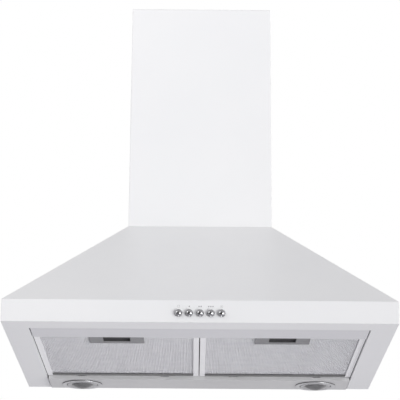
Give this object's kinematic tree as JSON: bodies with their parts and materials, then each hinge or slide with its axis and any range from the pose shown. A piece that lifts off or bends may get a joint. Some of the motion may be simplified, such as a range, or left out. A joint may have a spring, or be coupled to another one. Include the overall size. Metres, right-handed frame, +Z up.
{
  "type": "chimney range hood",
  "caption": "Wall-hung chimney range hood with a white pyramid canopy, drop-down grease filters, push buttons, downlights, a blower with damper flaps, and a telescopic chimney cover",
  "frame": {"origin": "on the wall plane, midway between the two wall fixing holes in the canopy's back plate", "axes": "+X to the right as seen from the room, +Y into the wall, +Z up"},
  "size_m": [0.6, 0.487, 0.652],
  "materials": {
    "white_paint": "satin white powder coat",
    "light_strip": "satin light grey paint",
    "silver_panel": "fine silver metallic paint",
    "galvanised": "galvanised sheet",
    "aluminium": "brushed aluminium",
    "mesh": "expanded aluminium",
    "grey_plastic": "moulded, fine texture",
    "chrome": "polished",
    "steel": "zinc plated",
    "frosted_glass": "frosted",
    "ceramic": "glazed white",
    "black_plastic": "moulded, fine texture",
    "white_plastic": "moulded",
    "cast_alloy": "die cast",
    "rubber": "matte",
    "core_steel": "laminated core"
  },
  "bodies": {
    "hood": {"blower_scroll_left": "black_plastic", "blower_scroll_right": "black_plastic", "button_springs": "steel", "cable_gland": "black_plastic", "cable_grommet": "rubber", "canopy_back_plate": "galvanised", "canopy_shell": "white_paint", "canopy_top_plate": "galvanised", "capacitor": "aluminium", "chimney_lower_cover": "white_paint", "damper_pin": "steel", "front_strip": "light_strip", "inlet_guard": "galvanised", "lamp_bezels": "silver_panel", "lamp_bulbs": "frosted_glass", "lamp_cups": "aluminium", "lamp_holders": "ceramic", "lamp_lenses": "frosted_glass", "lamp_panel": "silver_panel", "lamp_panel_brackets": "galvanised", "machine_screws": "steel", "motor_bearings": "steel", "motor_can": "galvanised", "motor_carrier": "galvanised", "motor_core": "core_steel", "motor_end_cap": "cast_alloy", "motor_rubber_mounts": "rubber", "outlet_spigot": "black_plastic", "switch_block": "black_plastic", "switch_bracket": "galvanised", "terminal_block": "white_plastic", "terminal_box": "white_plastic", "terminal_box_lid": "white_plastic"},
    "upper_chimney": {"chimney_upper_cover": "white_paint", "ceiling_bracket": "galvanised", "ceiling_bracket_screws": "steel"},
    "filter_left": {"filter_frame_left": "aluminium", "filter_lower_mesh_left": "mesh", "filter_core_mesh_left": "mesh", "filter_upper_mesh_left": "mesh", "filter_handle_left": "grey_plastic", "filter_latch_springs_left": "steel"},
    "latch_left": {"filter_latch_left": "black_plastic"},
    "filter_right": {"filter_frame_right": "aluminium", "filter_lower_mesh_right": "mesh", "filter_core_mesh_right": "mesh", "filter_upper_mesh_right": "mesh", "filter_handle_right": "grey_plastic", "filter_latch_springs_right": "steel"},
    "latch_right": {"filter_latch_right": "black_plastic"},
    "button_1": {"button_1": "chrome"},
    "button_2": {"button_2": "chrome"},
    "button_3": {"button_3": "chrome"},
    "button_4": {"button_4": "chrome"},
    "button_5": {"button_5": "chrome"},
    "blower_rotor": {"blower_wheel": "black_plastic", "motor_rotor": "core_steel", "motor_shaft": "steel"},
    "flap_front": {"damper_flap_front": "black_plastic"},
    "flap_rear": {"damper_flap_rear": "black_plastic"}
  },
  "joints": [
    {"name": "chimney_lift", "type": "slide", "parent": "hood", "child": "upper_chimney", "axis": [0, 0, 1], "range_m": [0, 0.3]},
    {"name": "filter_left_drop", "type": "hinge", "parent": "hood", "child": "filter_left", "pos_m": [-0.13025, -0.085, -0.1816], "axis": [1, 0, 0], "range_deg": [0, 45]},
    {"name": "latch_left_pull", "type": "slide", "parent": "filter_left", "child": "latch_left", "axis": [0, 1, 0], "range_m": [0, 0.006], "stiffness_N_per_m": 250, "springref_m": -0.004, "deforming": ["filter_latch_springs_left"]},
    {"name": "filter_right_drop", "type": "hinge", "parent": "hood", "child": "filter_right", "pos_m": [0.13025, -0.085, -0.1816], "axis": [1, 0, 0], "range_deg": [0, 45]},
    {"name": "latch_right_pull", "type": "slide", "parent": "filter_right", "child": "latch_right", "axis": [0, 1, 0], "range_m": [0, 0.006], "stiffness_N_per_m": 250, "springref_m": -0.004, "deforming": ["filter_latch_springs_right"]},
    {"name": "button_1_press", "type": "slide", "parent": "hood", "child": "button_1", "axis": [0, 1, 0], "range_m": [0, 0.0035], "stiffness_N_per_m": 400, "springref_m": -0.002, "deforming": ["button_springs"]},
    {"name": "button_2_press", "type": "slide", "parent": "hood", "child": "button_2", "axis": [0, 1, 0], "range_m": [0, 0.0035], "stiffness_N_per_m": 400, "springref_m": -0.002},
    {"name": "button_3_press", "type": "slide", "parent": "hood", "child": "button_3", "axis": [0, 1, 0], "range_m": [0, 0.0035], "stiffness_N_per_m": 400, "springref_m": -0.002},
    {"name": "button_4_press", "type": "slide", "parent": "hood", "child": "button_4", "axis": [0, 1, 0], "range_m": [0, 0.0035], "stiffness_N_per_m": 400, "springref_m": -0.002},
    {"name": "button_5_press", "type": "slide", "parent": "hood", "child": "button_5", "axis": [0, 1, 0], "range_m": [0, 0.0035], "stiffness_N_per_m": 400, "springref_m": -0.002},
    {"name": "rotor_spin", "type": "hinge", "parent": "hood", "child": "blower_rotor", "pos_m": [0, -0.128, -0.035], "axis": [1, 0, 0], "continuous": true},
    {"name": "flap_front_open", "type": "hinge", "parent": "hood", "child": "flap_front", "pos_m": [0, -0.1, 0.076], "axis": [-1, 0, 0], "range_deg": [0, 75]},
    {"name": "flap_rear_open", "type": "hinge", "parent": "hood", "child": "flap_rear", "pos_m": [0, -0.1, 0.076], "axis": [1, 0, 0], "range_deg": [0, 75]}
  ]
}
